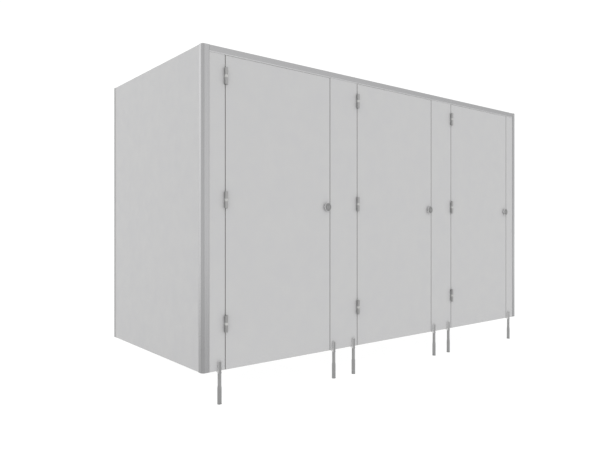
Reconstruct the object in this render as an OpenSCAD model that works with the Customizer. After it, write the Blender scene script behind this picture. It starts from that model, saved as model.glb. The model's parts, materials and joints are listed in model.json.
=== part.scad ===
// A row of three toilet cubicles in compact laminate.
// Flush outward-opening doors hang on barrel hinges between fixed pilasters.
// The pilasters stand on levelling pedestals, an aluminium rail ties their heads together,
// and the side panels are held in channels on the wall behind.
//
// Frame: +Z up, the fronts face -Y, X runs along the row, z = 0 is the floor.
// Inside the modules y = 0 is the outer face of the fronts, and in_row() puts them in place.

/* [Row] */
// Door bay, from the middle of its hinge gap to the middle of its lock gap
door_bay = 800; // [650:10:950]
// Fixed front between two doors, gap middle to gap middle
mid_front_w = 250; // [150:5:400]
// Fixed front at each end, from the outer face of the row to the gap middle
end_front_w = 150; // [120:5:300]
// Outer face of the fronts to the wall
row_depth = 1335; // [900:5:2000]
// Floor to the underside of the panels
floor_gap = 187; // [160:1:260]
// Floor to the top of the head rail
row_h = 2027; // [1960:1:2400]

/* [Panels] */
// Thickness of the compact laminate
panel_t = 13; // [10:0.5:20]
// Bevel along the edges of a panel
panel_bevel = 1; // [0.4:0.1:2]
// Gap between a door and its pilaster
door_gap = 3; // [2.8:0.1:5]
// Gap between a door and the head rail
door_head_gap = 3; // [2:0.5:8]
// How far the side panels stop below the top of the head rail
side_drop = 0; // [0:1:15]

/* [Aluminium sections] */
// Wall thickness of the sections
alu_t = 2; // [1.6:0.1:3]
// Clearance on each face of a panel in a slot
slot_clear = 0.2; // [0.1:0.05:0.5]
// Gap between a panel's edge and the bottom of its slot
edge_gap = 1; // [0.5:0.5:3]
// Depth of the wall and partition channels
channel_leg = 25; // [20:1:40]
// Corner post, width seen from the front
post_front = 46; // [40:1:70]
// Corner post, width seen from the side
post_side = 41; // [36:1:70]
// Width of the corner post's nose on each face
post_nose = 13; // [6:0.5:15]
// Radius of the nose's gentle curve
post_nose_r = 34.5; // [24:0.5:60]
// Shadow line where the nose meets the flat faces
post_groove = 1; // [0.6:0.1:1.5]
// Distance from a flange's free edge to its bead line
bead_in = 3; // [2:0.5:6]
// Visible height of the head rail
rail_h = 38; // [32:1:60]
// Depth of the slot that takes the pilaster heads
rail_slot = 24; // [14:1:26]
// Radius along the top edges of the head rail
rail_r = 3; // [1:0.5:6]
// Gap between the head rail and each corner post
rail_end_gap = 0.5; // [0.3:0.1:2]
// How far the strip over a door reaches up into the rail
strip_in = 12; // [8:1:14]
// Gap round that strip, to the door and to the pilasters
strip_gap = 0.5; // [0.3:0.1:1.5]

/* [Fixings] */
// Radius of a screw's shank
screw_r = 2.1; // [1.5:0.1:2.5]
// Radius of a countersunk head
screw_head_r = 4.3; // [3.5:0.1:5]
// Depth of a countersunk head
screw_head_h = 2.2; // [1.6:0.1:3]
// Length of a screw over its head
screw_len = 11; // [9:0.5:12]
// Clearance round a screw
screw_clear = 0.05; // [0.02:0.01:0.1]
// Screws along the length of a channel or post
fixings = 4; // [3:1:6]
// Distance from a panel's end to its first fixing
fixing_in = 92.5; // [60:0.5:200]
// Radius of the holes for wall screws
wall_hole_r = 2.75; // [2:0.05:3.5]

/* [Hinges] */
// Height of each of the two knuckles
knuckle_h = 40; // [28:1:55]
// Height of the nylon bush between the knuckles
bush_h = 16; // [8:1:24]
// Radius of the barrel
barrel_r = 10; // [8:0.5:14]
// How much smaller the bush is than the barrel
bush_step = 0.6; // [0.2:0.1:1.5]
// Gap between the barrel and the face of the door
barrel_off = 0.6; // [0.4:0.1:2]
// Radius of the hinge pin
pin_r = 4; // [3:0.25:6]
// Running clearance round the hinge pin
pin_clear = 0.05; // [0.02:0.01:0.1]
// Thickness of the button on each end of the pin
pin_cap_t = 1.5; // [1:0.5:4]
// Gap that lets the door's knuckle turn on the bush
turn_gap = 0.3; // [0.2:0.1:0.6]
// Thickness of the wings
wing_t = 2.2; // [1.6:0.1:2.4]
// Width of a wing on the inner face
wing_w = 45; // [34:1:60]
// Radius of a wing's outer corners
wing_corner_r = 5; // [2:1:10]
// Floor to the middle of the lowest hinge
hinge_low_z = 450; // [300:5:600]
// Floor to the middle of the highest hinge
hinge_high_z = 1865; // [1600:5:1900]

/* [Lock] */
// Floor to the lock's axis
lock_z = 1132; // [900:1:1250]
// Gap middle to the lock's axis
lock_in = 30; // [30:0.5:45]
// Radius of the knob's head
knob_r = 26; // [20:0.5:28]
// How far the knob stands out from the door
knob_out = 18; // [17:0.5:40]
// Radius of the knob's neck
knob_neck_r = 17; // [15:0.5:19]
// Thickness of the knob's head
knob_head_h = 10; // [9:0.5:12]
// Radius of the spindle
spindle_r = 4; // [3:0.25:4.5]
// Running clearance round the spindle
spindle_clear = 0.05; // [0.02:0.01:0.1]
// Radius at which the crank pin turns
crank_r = 8.5; // [7:0.25:9]
// Quarter turn between open and locked, in degrees
lock_turn = 90; // [80:1:100]
// Radius of the crank pin
crank_pin_r = 2; // [1.5:0.1:2.5]
// Play of the crank pin in its slot, each side
crank_play = 0.4; // [0.35:0.05:0.6]
// Height of the bolt's body
bolt_body_h = 28; // [27:0.5:32]
// Height of the bolt's tongue
bolt_tongue_h = 18; // [12:0.5:22]
// Thickness of the bolt
bolt_t = 6; // [4:0.5:8]
// Clearance round the bolt
bolt_clear = 0.3; // [0.2:0.05:0.6]
// Wall of the lock case
case_wall = 1.8; // [1.2:0.1:2.5]
// Height of the lock case
case_h = 44; // [42:1:60]
// Length of the lock case
case_l = 61; // [60:1:75]
// Radius of the coin disc in the knob
disc_r = 12; // [9:0.5:14]
// Thickness of the coin disc
disc_t = 2.7; // [2:0.1:4]
// Length of the thumb turn's grip
grip_l = 36; // [28:1:44]

/* [Keep and door stop] */
// Height of the keep over its ears
keep_h = 54; // [50:1:70]
// Width of the keep
keep_w = 28; // [22:1:32]
// Thickness of the keep's ears and walls
keep_t = 3; // [2.2:0.1:4]
// Play of the bolt in the keep, each side
keep_play = 1.2; // [0.8:0.1:2]
// How far the stop laps behind the door
stop_lap = 10; // [6:0.5:14]
// Width of the stop's foot on the pilaster
stop_foot = 17; // [14:0.5:20]
// Thickness of the foot, which the seal fills beside the door
stop_seat = 3; // [2.5:0.1:5]
// Gap between the seal and the closed door
seal_gap = 0.3; // [0.2:0.05:0.5]
// Room left clear above and below the lock
stop_break = 45; // [36:1:70]

/* [Coat hook] */
// Floor to the coat hook
hook_z = 1700; // [1500:10:1800]
// How far the hook stands out
hook_out = 58; // [40:1:70]
// Radius of the hook's rose
hook_rose_r = 20; // [15:0.5:26]

/* [Pedestals] */
// Door-side edge of a pilaster to the pedestal's axis, beside a hinge
pedestal_in_hinge = 39.5; // [34:0.5:60]
// The same beside a lock
pedestal_in_lock = 27.5; // [24:0.5:60]
// How far the pedestal's axis stands in front of the fronts' face
pedestal_off = 4.7; // [3:0.1:6]
// Radius of the fork's round front
fork_r = 10.75; // [9:0.25:12]
// Width of the fork's rear cheek
fork_w = 20; // [18:1:24]
// How far the fork laps up the panel
fork_h = 55; // [35:1:80]
// Thickness of the fork's rear cheek
fork_t = 2.5; // [2:0.1:4]
// Thickness of the fork's seat
fork_seat = 8; // [6:0.5:12]
// Radius of the fork's bolt
fork_bolt_r = 3; // [2:0.25:4]
// Radius of the rod
rod_r = 10.75; // [8:0.25:11]
// Wall of the sleeve
sleeve_wall = 1.4; // [1.2:0.1:3]
// Floor to the top of the sleeve
sleeve_h = 100; // [80:1:110]
// Height of the sleeve's tapered top
sleeve_taper = 10; // [4:1:20]
// Radius of the foot's base
base_r = 13; // [12.5:0.25:22]
// Height of the foot's base
base_h = 6; // [3:0.5:12]
// How far the rod reaches down into the sleeve
rod_engage = 50; // [40:1:60]
// How far the foot screws up from here
foot_travel = 35; // [10:1:38]
// Height of the lock nut under the fork
nut_h = 5; // [4:0.5:8]
// Running clearance of the rod in the sleeve
rod_clear = 0.1; // [0.05:0.01:0.1]

/* [Hidden] */
$fn = 64;

cubicles = 3;
bite = 1; // how far a cutter runs past the face that it opens

// Plan of the row
pitch = door_bay + mid_front_w;
row_w = 2 * end_front_w + cubicles * door_bay + (cubicles - 1) * mid_front_w;
hinge_off = barrel_off + barrel_r;
sleeve_r = rod_r + rod_clear + sleeve_wall;
front_reach = max(knob_out, hinge_off + barrel_r, pedestal_off + max(fork_r, sleeve_r, base_r));
front_y = (front_reach - row_depth) / 2;
half_gap = door_gap / 2;
function hinge_x(i) = -row_w / 2 + end_front_w + (i - 1) * pitch;
function lock_x(i) = hinge_x(i) + door_bay;
function partition_x(k) = lock_x(k) + mid_front_w / 2;

// Sections
slot_w = panel_t + 2 * slot_clear;
channel_w = slot_w + 2 * alu_t;
skin = alu_t + slot_clear; // a section's face to the face of the panel in it
nose_at = (post_nose + sqrt(2 * post_nose_r * post_nose_r - post_nose * post_nose)) / 2; // its curve's middle
side_x = row_w / 2 - channel_w / 2; // middle of an end panel's thickness
wing_edge = half_gap + wing_w;

// Heights
rail_z = row_h - rail_h;
pilaster_top = rail_z + rail_slot;
door_top = rail_z - door_head_gap;
side_top = row_h - side_drop;
channel_top = rail_z - door_head_gap;
cap_z = pilaster_top + slot_clear; // underside of the plugs in the tops of the corner posts
side_front = channel_w - skin + edge_gap; // front edge of an end panel
partition_front = panel_t + alu_t + edge_gap;
panel_back = row_depth - alu_t - edge_gap;
fixing_step = (side_top - floor_gap - 2 * fixing_in) / (fixings - 1);
fixing_zs = [for (k = [0:fixings - 1]) floor_gap + fixing_in + k * fixing_step];
web_zs = [for (z = fixing_zs) z - screw_head_r * 4];
hinge_zs = [hinge_low_z, (hinge_low_z + hinge_high_z) / 2, hinge_high_z];
wing_screw_z = knuckle_h / 4;
wing_screw_x = [wing_edge * 0.4, wing_edge * 0.82];

// Lock, measured from its axis
lock_edge = lock_in - half_gap; // axis to the door's edge
bolt_throw = 2 * crank_r * sin(lock_turn / 2);
crank_z = crank_r * cos(lock_turn / 2);
case_right = lock_edge - 1.5;
case_left = case_right - case_l;
crank_t = 3.6;
crank_gap = 0.4;
crank_wall = 3; // round the spindle, and half of it round the pin
bolt_y = panel_t + crank_gap + crank_t + crank_gap;
case_y = bolt_y + bolt_t + bolt_clear + case_wall;
bolt_step = case_right - case_wall - bolt_throw - 2 * bolt_clear; // end of the bolt's body
bolt_tip = lock_edge - 0.5;
bolt_tail = case_left + case_wall + 4;
knob_screw_r = 1.6;
knob_screw_at = knob_neck_r - knob_screw_r - 1.6;
disc_pocket = disc_t + 0.8;
spindle_hole_r = spindle_r + 1;
boss_r = 11;
boss_t = 3;
grip_t = 9;
grip_out = 17;

// Keep, measured from the middle of the lock gap
keep_x = half_gap + 1;
keep_body_h = bolt_tongue_h + 2 * (keep_play + keep_t);
keep_y = bolt_y + bolt_t + keep_play + keep_t;
keep_reach = bolt_tip + bolt_throw - lock_in + keep_play;

// Pedestals
rod_bottom = sleeve_h - rod_engage;
rod_top = floor_gap - fork_seat;
sleeve_floor = rod_bottom - foot_travel - 3;
spigot_r = rod_r / 2;
spigot_h = fork_seat - 2;
fork_face = pedestal_off - slot_clear; // axis to the flat of the fork's front
fork_cheek = pedestal_off + panel_t + slot_clear; // axis to the inner face of its rear cheek
fork_back = fork_cheek + fork_t;
fork_bolt_z = floor_gap + fork_h * 0.55;
fork_bolt_tip = fork_face - fork_r * 0.8;
pedestal_xs = [
    for (i = [1:cubicles])
        for (x = [hinge_x(i) - half_gap - pedestal_in_hinge, lock_x(i) + half_gap + pedestal_in_lock]) x
];

laminate = "gainsboro";
aluminium = "silver";
steel = "darkgray";
nylon = "whitesmoke";
rubber = "dimgray";

// ---------- helpers ----------

// Moves a shape from the fronts' own frame into the row's frame
module in_row() {
    translate([0, front_y, 0]) children();
}

// A box given by its two corners
module block(low, high) {
    translate(low) cube(high - low);
}

// A rectangle with bevelled corners, by its two corners
module bevelled(low, high, b) {
    polygon([
        [low[0] + b, low[1]], [high[0] - b, low[1]], [high[0], low[1] + b],
        [high[0], high[1] - b], [high[0] - b, high[1]], [low[0] + b, high[1]],
        [low[0], high[1] - b], [low[0], low[1] + b]
    ]);
}

// A flat panel that stands in the plane of the fronts, bevelled round its faces
module front_panel(x0, x1, z0, z1) {
    intersection() {
        translate([0, 0, z0]) linear_extrude(z1 - z0) bevelled([x0, 0], [x1, panel_t], panel_bevel);
        translate([x0, 0, 0]) rotate([90, 0, 90]) linear_extrude(x1 - x0)
            bevelled([0, z0], [panel_t, z1], panel_bevel);
    }
}

// A flat panel that runs from the fronts to the wall, centred on x
module side_panel(x, y0, y1, z0, z1) {
    translate([x + panel_t / 2, 0, 0]) rotate([0, 0, 90]) front_panel(y0, y1, z0, z1);
}

// A plate with four round corners, in the XZ plane, from y = 0 to y = t
module round_plate(x0, x1, z0, z1, t, r) {
    rotate([90, 0, 0]) translate([0, 0, -t]) linear_extrude(t) {
        translate([x0 + r, z0]) square([x1 - x0 - 2 * r, z1 - z0]);
        translate([x0, z0 + r]) square([x1 - x0, z1 - z0 - 2 * r]);
        for (x = [x0 + r, x1 - r])
            for (z = [z0 + r, z1 - r]) translate([x, z]) circle(r);
    }
}

// Turns +Z into +Y
module facing_back() {
    rotate([-90, 0, 0]) children();
}

// Turns +Z into -Y
module facing_front() {
    rotate([90, 0, 0]) children();
}

// A countersunk screw, its head flush with z = 0
module screw() {
    difference() {
        union() {
            translate([0, 0, -screw_head_h]) cylinder(h = screw_head_h, r1 = screw_r, r2 = screw_head_r);
            translate([0, 0, -screw_len]) cylinder(h = screw_len - screw_head_h, r = screw_r);
        }
        translate([0, 0, -screw_head_h * 0.6]) cylinder(h = screw_head_h, r = screw_r * 0.8, $fn = 6);
    }
}

// The room that a screw needs
module screw_room() {
    translate([0, 0, -screw_head_h - screw_clear])
        cylinder(
            h = screw_head_h + screw_clear,
            r1 = screw_r + screw_clear,
            r2 = screw_head_r + 2 * screw_clear
        );
    translate([0, 0, -screw_len - screw_clear]) cylinder(h = screw_len, r = screw_r + screw_clear);
    translate([0, 0, -screw_clear / 2]) cylinder(h = bite, r = screw_head_r + 2 * screw_clear);
}

// The right-hand copy of something drawn for the left
module on_side(side) {
    mirror([side > 0 ? 1 : 0, 0, 0]) children();
}

// ---------- where the fixings are ----------

module at_hinges(i) {
    for (z = hinge_zs) translate([hinge_x(i), 0, z]) children();
}

// Wing screws: side -1 is the pilaster's wing, under the bush, and 1 the door's, over it
module at_wing_screws(i, side) {
    at_hinges(i) for (x = wing_screw_x) for (z = [-1, 1])
        translate([side * x, panel_t + wing_t, side * (bush_h + knuckle_h) / 2 + z * wing_screw_z])
            facing_back() children();
}

// Screws that hold a corner post to the end pilaster, on the left of the row
module at_post_front_screws() {
    for (z = fixing_zs) if (z < rail_z - screw_head_r)
        translate([-row_w / 2 + (channel_w + post_front) / 2, panel_t + skin, z]) facing_back() children();
}

// Screws that hold a corner post to the end panel, on the left of the row
module at_post_side_screws() {
    for (z = fixing_zs)
        translate([-row_w / 2 + channel_w, (channel_w + post_side) / 2 - skin, z]) rotate([0, 90, 0]) children();
}

// Screws through the side of a wall channel whose middle is at x
module at_wall_channel_screws(x) {
    for (z = fixing_zs)
        translate([x + channel_w / 2, row_depth - (channel_leg + alu_t) / 2, z])
            rotate([0, 90, 0]) children();
}

// Screws through the side of the channel that joins partition k to its pilaster
module at_partition_side_screws(k) {
    for (z = fixing_zs) if (z < channel_top - screw_head_r)
        translate([partition_x(k) + channel_w / 2, panel_t + (channel_leg + alu_t) / 2, z])
            rotate([0, 90, 0]) children();
}

// Screws through the web of the same channel into the pilaster
module at_partition_web_screws(k) {
    for (z = web_zs) if (z < channel_top - screw_head_r)
        translate([partition_x(k), panel_t + alu_t, z]) facing_back() children();
}

module at_wall_holes(x) {
    for (z = fixing_zs) translate([x, row_depth, z]) facing_back() children();
}

module at_keep_screws(i) {
    for (z = [-1, 1])
        translate([lock_x(i) + keep_x + keep_w / 2, panel_t + keep_t, lock_z + z * (keep_body_h + keep_h) / 4])
            facing_back() children();
}

// The lower and the upper length of each stop, as [from, to]; the lower one starts over the fork
stop_spans = [
    [floor_gap + fork_h + 3, lock_z - stop_break],
    [lock_z + stop_break, door_top - panel_bevel]
];
stop_screw_in = 40;
stop_x0 = half_gap + 1.5;

module at_stop_screws(i) {
    for (span = stop_spans)
        for (z = [span[0] + stop_screw_in, (span[0] + span[1]) / 2, span[1] - stop_screw_in])
            translate([lock_x(i) + stop_x0 + stop_foot / 2, panel_t + stop_seat + alu_t, z])
                facing_back() children();
}

module at_lock(i) {
    translate([lock_x(i) - lock_in, 0, lock_z]) children();
}

// Two screws in the corners of the lock case, clear of its works
case_screw_at = [case_left + 8, case_h / 2 - 4];
module at_case_screws(i) {
    at_lock(i) for (z = [-1, 1])
        translate([case_screw_at[0], case_y, z * case_screw_at[1]]) facing_back() children();
}

// Screws from inside the door into the knob
module at_knob_screws(i) {
    at_lock(i) for (a = [210, 330]) rotate([0, a, 0]) translate([knob_screw_at, panel_t, 0])
        facing_back() children();
}

module at_pedestals() {
    for (x = pedestal_xs) translate([x, -pedestal_off, 0]) children();
}

// ---------- aluminium sections ----------

// U-shaped section, its web on y = 0 and its slot open to -Y
module channel_profile() {
    difference() {
        translate([-channel_w / 2, -channel_leg]) square([channel_w, channel_leg]);
        translate([-slot_w / 2, -channel_leg - bite]) square([slot_w, channel_leg - alu_t + bite]);
    }
}

// Outline of the corner post: two flanges at a right angle and a gently curved nose across their corner
module post_outline() {
    difference() {
        union() {
            square([post_front, channel_w]);
            square([channel_w, post_side]);
        }
        difference() {
            translate([-bite, -bite]) square(post_nose + 2 * bite);
            translate([nose_at, nose_at]) circle(post_nose_r);
        }
    }
}

// The hollow of the nose, smaller by clear on each side
module nose_hollow(clear) {
    intersection() {
        translate([alu_t + clear, alu_t + clear]) square(slot_w - 2 * clear);
        translate([nose_at, nose_at]) circle(post_nose_r - alu_t - clear);
    }
}

// Corner post, with a slot in each flange and a hollow nose
module post_profile() {
    difference() {
        post_outline();
        translate([channel_w, alu_t]) square([post_front, slot_w]);
        translate([alu_t, channel_w]) square([slot_w, post_side]);
        nose_hollow(0);
        // shadow lines beside the nose
        translate([post_nose - post_groove / 2, -bite]) square([post_groove, bite + post_groove * 0.8]);
        translate([-bite, post_nose - post_groove / 2]) square([bite + post_groove * 0.8, post_groove]);
        // bead lines near the free edges
        translate([post_front - bead_in, -bite]) square([post_groove * 0.6, bite + post_groove * 0.5]);
        translate([-bite, post_side - bead_in]) square([bite + post_groove * 0.5, post_groove * 0.6]);
    }
}

module corner_post(side) {
    color(aluminium) in_row() on_side(side) difference() {
        translate([-row_w / 2, -skin, floor_gap]) linear_extrude(row_h - floor_gap) post_profile();
        at_post_front_screws() screw_room();
        at_post_side_screws() screw_room();
    }
}

// Moulded plugs, flush with a corner post's top: one in its nose, one in its slot over the pilaster
module corner_plugs() {
    translate([-row_w / 2, -skin, cap_z]) linear_extrude(row_h - cap_z) {
        nose_hollow(slot_clear);
        translate([channel_w + slot_clear, alu_t + slot_clear])
            square([post_front - channel_w - slot_clear, slot_w - 2 * slot_clear]);
    }
}

module corner_caps() {
    color(nylon) in_row() for (side = [-1, 1]) on_side(side) corner_plugs();
}

// Head rail: a slot for the pilaster heads under a closed box
module rail_profile() {
    difference() {
        union() {
            translate([-channel_w / 2, rail_z]) square([channel_w, rail_h - rail_r]);
            translate([rail_r - channel_w / 2, rail_z]) square([channel_w - 2 * rail_r, rail_h]);
            for (y = [-1, 1]) translate([y * (channel_w / 2 - rail_r), row_h - rail_r]) circle(rail_r);
        }
        translate([-slot_w / 2, rail_z - bite]) square([slot_w, rail_slot + bite]);
        translate([-slot_w / 2, pilaster_top + alu_t]) square([slot_w, row_h - pilaster_top - 2 * alu_t]);
        // bead line along the lower edge of the visible face
        translate([-channel_w / 2 - bite, rail_z + bead_in])
            square([bite + post_groove * 0.5, post_groove * 0.6]);
    }
}

module head_rail() {
    rail_l = row_w - 2 * post_front - 2 * rail_end_gap;
    color(aluminium) in_row() translate([-rail_l / 2, panel_t / 2, 0]) rotate([90, 0, 90])
        linear_extrude(rail_l) rail_profile();
}

// Strip that closes the rail's slot over each door
module head_strips() {
    color(nylon) in_row() for (i = [1:cubicles])
        translate([hinge_x(i) - half_gap + strip_gap, 0, 0]) rotate([90, 0, 90])
            linear_extrude(door_bay + door_gap - 2 * strip_gap)
                bevelled([0, door_top + strip_gap], [panel_t, rail_z + strip_in], panel_bevel / 2);
}

wall_channel_xs = [-side_x, partition_x(1), partition_x(2), side_x];
// which face of each wall channel its screws go through: the one inside a cubicle, away from the row's end
module at_side_fixings(j) {
    if (j == 3) mirror([1, 0, 0]) at_wall_channel_screws(-side_x) children();
    else at_wall_channel_screws(wall_channel_xs[j]) children();
}

module wall_channels() {
    color(aluminium) in_row() for (j = [0:3]) difference() {
        translate([wall_channel_xs[j], row_depth, floor_gap])
            linear_extrude(side_top - floor_gap) channel_profile();
        at_side_fixings(j) screw_room();
        at_wall_holes(wall_channel_xs[j]) translate([0, 0, -alu_t - bite])
            cylinder(h = alu_t + 2 * bite, r = wall_hole_r);
    }
}

module partition_channels() {
    color(aluminium) in_row() for (k = [1:2]) difference() {
        translate([partition_x(k), panel_t, floor_gap]) mirror([0, 1, 0])
            linear_extrude(channel_top - floor_gap) channel_profile();
        at_partition_side_screws(k) screw_room();
        at_partition_web_screws(k) screw_room();
    }
}

// ---------- panels ----------

module end_panel(side) {
    color(laminate) in_row() on_side(side) difference() {
        side_panel(-side_x, side_front, panel_back, floor_gap, side_top);
        at_post_side_screws() screw_room();
        at_wall_channel_screws(-side_x) screw_room();
    }
}

module partition(k) {
    color(laminate) in_row() difference() {
        side_panel(partition_x(k), partition_front, panel_back, floor_gap, side_top);
        at_partition_side_screws(k) screw_room();
        at_side_fixings(k) screw_room();
    }
}

// Holes that cubicle i's lock side makes in the pilaster beside it
module lock_side_holes(i) {
    at_keep_screws(i) screw_room();
    at_stop_screws(i) screw_room();
}

module fork_bolt_holes() {
    at_pedestals() translate([0, pedestal_off - bite, fork_bolt_z]) facing_back()
        cylinder(h = panel_t + 2 * bite, r = fork_bolt_r + screw_clear);
}

// Pilaster at the hinge end of the row
module pilaster_left() {
    color(laminate) in_row() difference() {
        front_panel(-row_w / 2 + channel_w + edge_gap, hinge_x(1) - half_gap, floor_gap, pilaster_top);
        at_post_front_screws() screw_room();
        at_wing_screws(1, -1) screw_room();
        fork_bolt_holes();
    }
}

// Pilaster between cubicle k and the next
module pilaster_between(k) {
    color(laminate) in_row() difference() {
        front_panel(lock_x(k) + half_gap, hinge_x(k + 1) - half_gap, floor_gap, pilaster_top);
        at_wing_screws(k + 1, -1) screw_room();
        at_partition_web_screws(k) screw_room();
        lock_side_holes(k);
        fork_bolt_holes();
    }
}

// Pilaster at the lock end of the row
module pilaster_right() {
    color(laminate) in_row() difference() {
        front_panel(lock_x(cubicles) + half_gap, row_w / 2 - channel_w - edge_gap, floor_gap, pilaster_top);
        on_side(1) at_post_front_screws() screw_room();
        lock_side_holes(cubicles);
        fork_bolt_holes();
    }
}

module door(i) {
    color(laminate) in_row() difference() {
        front_panel(hinge_x(i) + half_gap, lock_x(i) - half_gap, floor_gap, door_top);
        at_wing_screws(i, 1) screw_room();
        at_case_screws(i) screw_room();
        at_hook(i) for (a = [0, 180]) rotate([0, a, 0]) hook_screw_place() screw_room();
        at_lock(i) translate([0, -bite, 0]) facing_back() cylinder(h = panel_t + 2 * bite, r = spindle_hole_r);
        at_knob_screws(i) knob_screw_room();
    }
}

// ---------- hinges ----------

// One half of a hinge, drawn for the pilaster: barrel, arm through the gap and wing behind the panel
module hinge_half(z0, z1) {
    difference() {
        union() {
            translate([0, -hinge_off, z0]) cylinder(h = z1 - z0, r = barrel_r);
            block([-half_gap, -hinge_off, z0], [wing_t - half_gap, panel_t + wing_t, z1]);
            translate([0, panel_t, 0])
                round_plate(-wing_edge, -half_gap, z0, z1, wing_t, wing_corner_r);
            block([-half_gap - wing_corner_r, panel_t, z0], [-half_gap, panel_t + wing_t, z1]);
        }
        translate([0, -hinge_off, z0 - bite]) cylinder(h = z1 - z0 + 2 * bite, r = pin_r + pin_clear);
    }
}

module hinge_frame_wings() {
    color(steel) in_row() for (i = [1:cubicles]) difference() {
        at_hinges(i) hinge_half(-bush_h / 2 - knuckle_h, -bush_h / 2);
        at_wing_screws(i, -1) screw_room();
    }
}

module hinge_door_wings(i) {
    color(steel) in_row() difference() {
        at_hinges(i) mirror([1, 0, 0]) hinge_half(bush_h / 2, bush_h / 2 + knuckle_h);
        at_wing_screws(i, 1) screw_room();
    }
}

module hinge_pins() {
    half = bush_h / 2 + knuckle_h;
    cap_r = barrel_r * 0.7;
    color(steel) in_row() for (i = [1:cubicles]) at_hinges(i) translate([0, -hinge_off, 0]) {
        translate([0, 0, -half]) cylinder(h = 2 * half + turn_gap, r = pin_r);
        translate([0, 0, -half - pin_cap_t])
            cylinder(h = pin_cap_t, r1 = cap_r - pin_cap_t / 2, r2 = cap_r);
        translate([0, 0, half + turn_gap])
            cylinder(h = pin_cap_t, r1 = cap_r, r2 = cap_r - pin_cap_t / 2);
    }
}

module hinge_bushes() {
    color(nylon) in_row() for (i = [1:cubicles]) at_hinges(i) translate([0, -hinge_off, -bush_h / 2])
        difference() {
            cylinder(h = bush_h - turn_gap, r = barrel_r - bush_step);
            translate([0, 0, -bite]) cylinder(h = bush_h + 2 * bite, r = pin_r + pin_clear);
        }
}

// ---------- lock ----------

// Screw into the knob, its head flush in the door's inner face
knob_screw_len = panel_t + 6;
knob_screw_head_r = knob_screw_r + 1.5;
module knob_screw() {
    translate([0, 0, -knob_screw_head_r + knob_screw_r])
        cylinder(h = knob_screw_head_r - knob_screw_r, r1 = knob_screw_r, r2 = knob_screw_head_r);
    translate([0, 0, -knob_screw_len]) cylinder(h = knob_screw_len - 1, r = knob_screw_r);
}

module knob_screw_room() {
    grown = knob_screw_head_r + screw_clear;
    translate([0, 0, knob_screw_r - knob_screw_head_r - screw_clear])
        cylinder(h = grown - knob_screw_r, r1 = knob_screw_r + screw_clear, r2 = grown + screw_clear);
    translate([0, 0, -knob_screw_len - screw_clear])
        cylinder(h = knob_screw_len, r = knob_screw_r + screw_clear);
    cylinder(h = bite, r = grown + screw_clear);
}

// Pull knob: a neck, and a round-edged head with a pocket for the coin disc
module knob(i) {
    rim_r = 4;
    head_z = knob_out - knob_head_h;
    fillet_r = min(4, (head_z - 2) / 2);
    color(steel) in_row() difference() {
        at_lock(i) facing_front() rotate_extrude() difference() {
            union() {
                square([knob_neck_r, head_z + 1]);
                square([knob_neck_r + 2, 2]);
                square([knob_neck_r + fillet_r, head_z + 1]);
                translate([0, head_z]) square([knob_r - rim_r, knob_head_h]);
                translate([0, head_z + rim_r]) square([knob_r, knob_head_h - 2 * rim_r]);
                for (z = [head_z + rim_r, knob_out - rim_r]) translate([knob_r - rim_r, z]) circle(rim_r);
            }
            // hollow of the neck
            translate([knob_neck_r, 2]) square([knob_r, head_z - 2 - fillet_r]);
            translate([knob_neck_r + fillet_r, head_z - fillet_r]) circle(fillet_r);
            translate([knob_neck_r + fillet_r, 2]) square([knob_r, head_z - 2]);
            translate([knob_neck_r + 2, -bite]) square([knob_r, bite + 2]);
            // bore and pocket
            translate([-bite, -bite]) square([bite + spindle_r + spindle_clear, knob_out + 2 * bite]);
            translate([0, knob_out - disc_pocket]) square([disc_r + 0.3, disc_pocket + bite]);
        }
        at_knob_screws(i) knob_screw_room();
    }
}

// Coin disc in the face of the knob, which turns with the spindle and shows its state
module indicator(i) {
    slot_l = disc_r * 1.4;
    slot_t = 2;
    slot_deep = disc_t / 2;
    color(nylon) in_row() at_lock(i) facing_front() translate([0, 0, knob_out - disc_pocket]) difference() {
        cylinder(h = disc_t, r = disc_r);
        translate([-slot_t / 2, -slot_l / 2, disc_t - slot_deep]) cube([slot_t, slot_l, slot_deep + bite]);
    }
}

// Thumb turn: grip, spindle through the door, and the crank whose pin drives the bolt
module thumb_turn(i) {
    color(steel) in_row() at_lock(i) union() {
        translate([0, disc_pocket - knob_out, 0]) facing_back()
            cylinder(h = knob_out - disc_pocket + case_y + turn_gap + boss_t / 2, r = spindle_r);
        // crank, which lies against the inside of the door, and its pin
        translate([0, panel_t + crank_gap, 0]) facing_back() {
            cylinder(h = crank_t, r = spindle_r + crank_wall);
            rotate([0, 0, -90 - lock_turn / 2]) translate([0, -crank_pin_r, crank_t * 0.15])
                cube([crank_r, 2 * crank_pin_r, crank_t * 0.7]);
            translate([-bolt_throw / 2, -crank_z, 0]) {
                cylinder(h = crank_t, r = crank_pin_r + crank_wall / 2);
                cylinder(h = bolt_y - panel_t - crank_gap + bolt_t, r = crank_pin_r);
            }
        }
        // boss and grip on the inside
        translate([0, case_y + turn_gap, 0]) facing_back() cylinder(h = boss_t, r = boss_r);
        translate([0, case_y + turn_gap + boss_t / 2, 0]) intersection() {
            round_plate(-grip_t / 2, grip_t / 2, -grip_l / 2, grip_l / 2, grip_out, grip_t * 0.4);
            translate([0, 0, -grip_l / 2]) linear_extrude(grip_l)
                bevelled([-grip_t / 2, 0], [grip_t / 2, grip_out], grip_t / 6);
        }
    }
}

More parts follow.
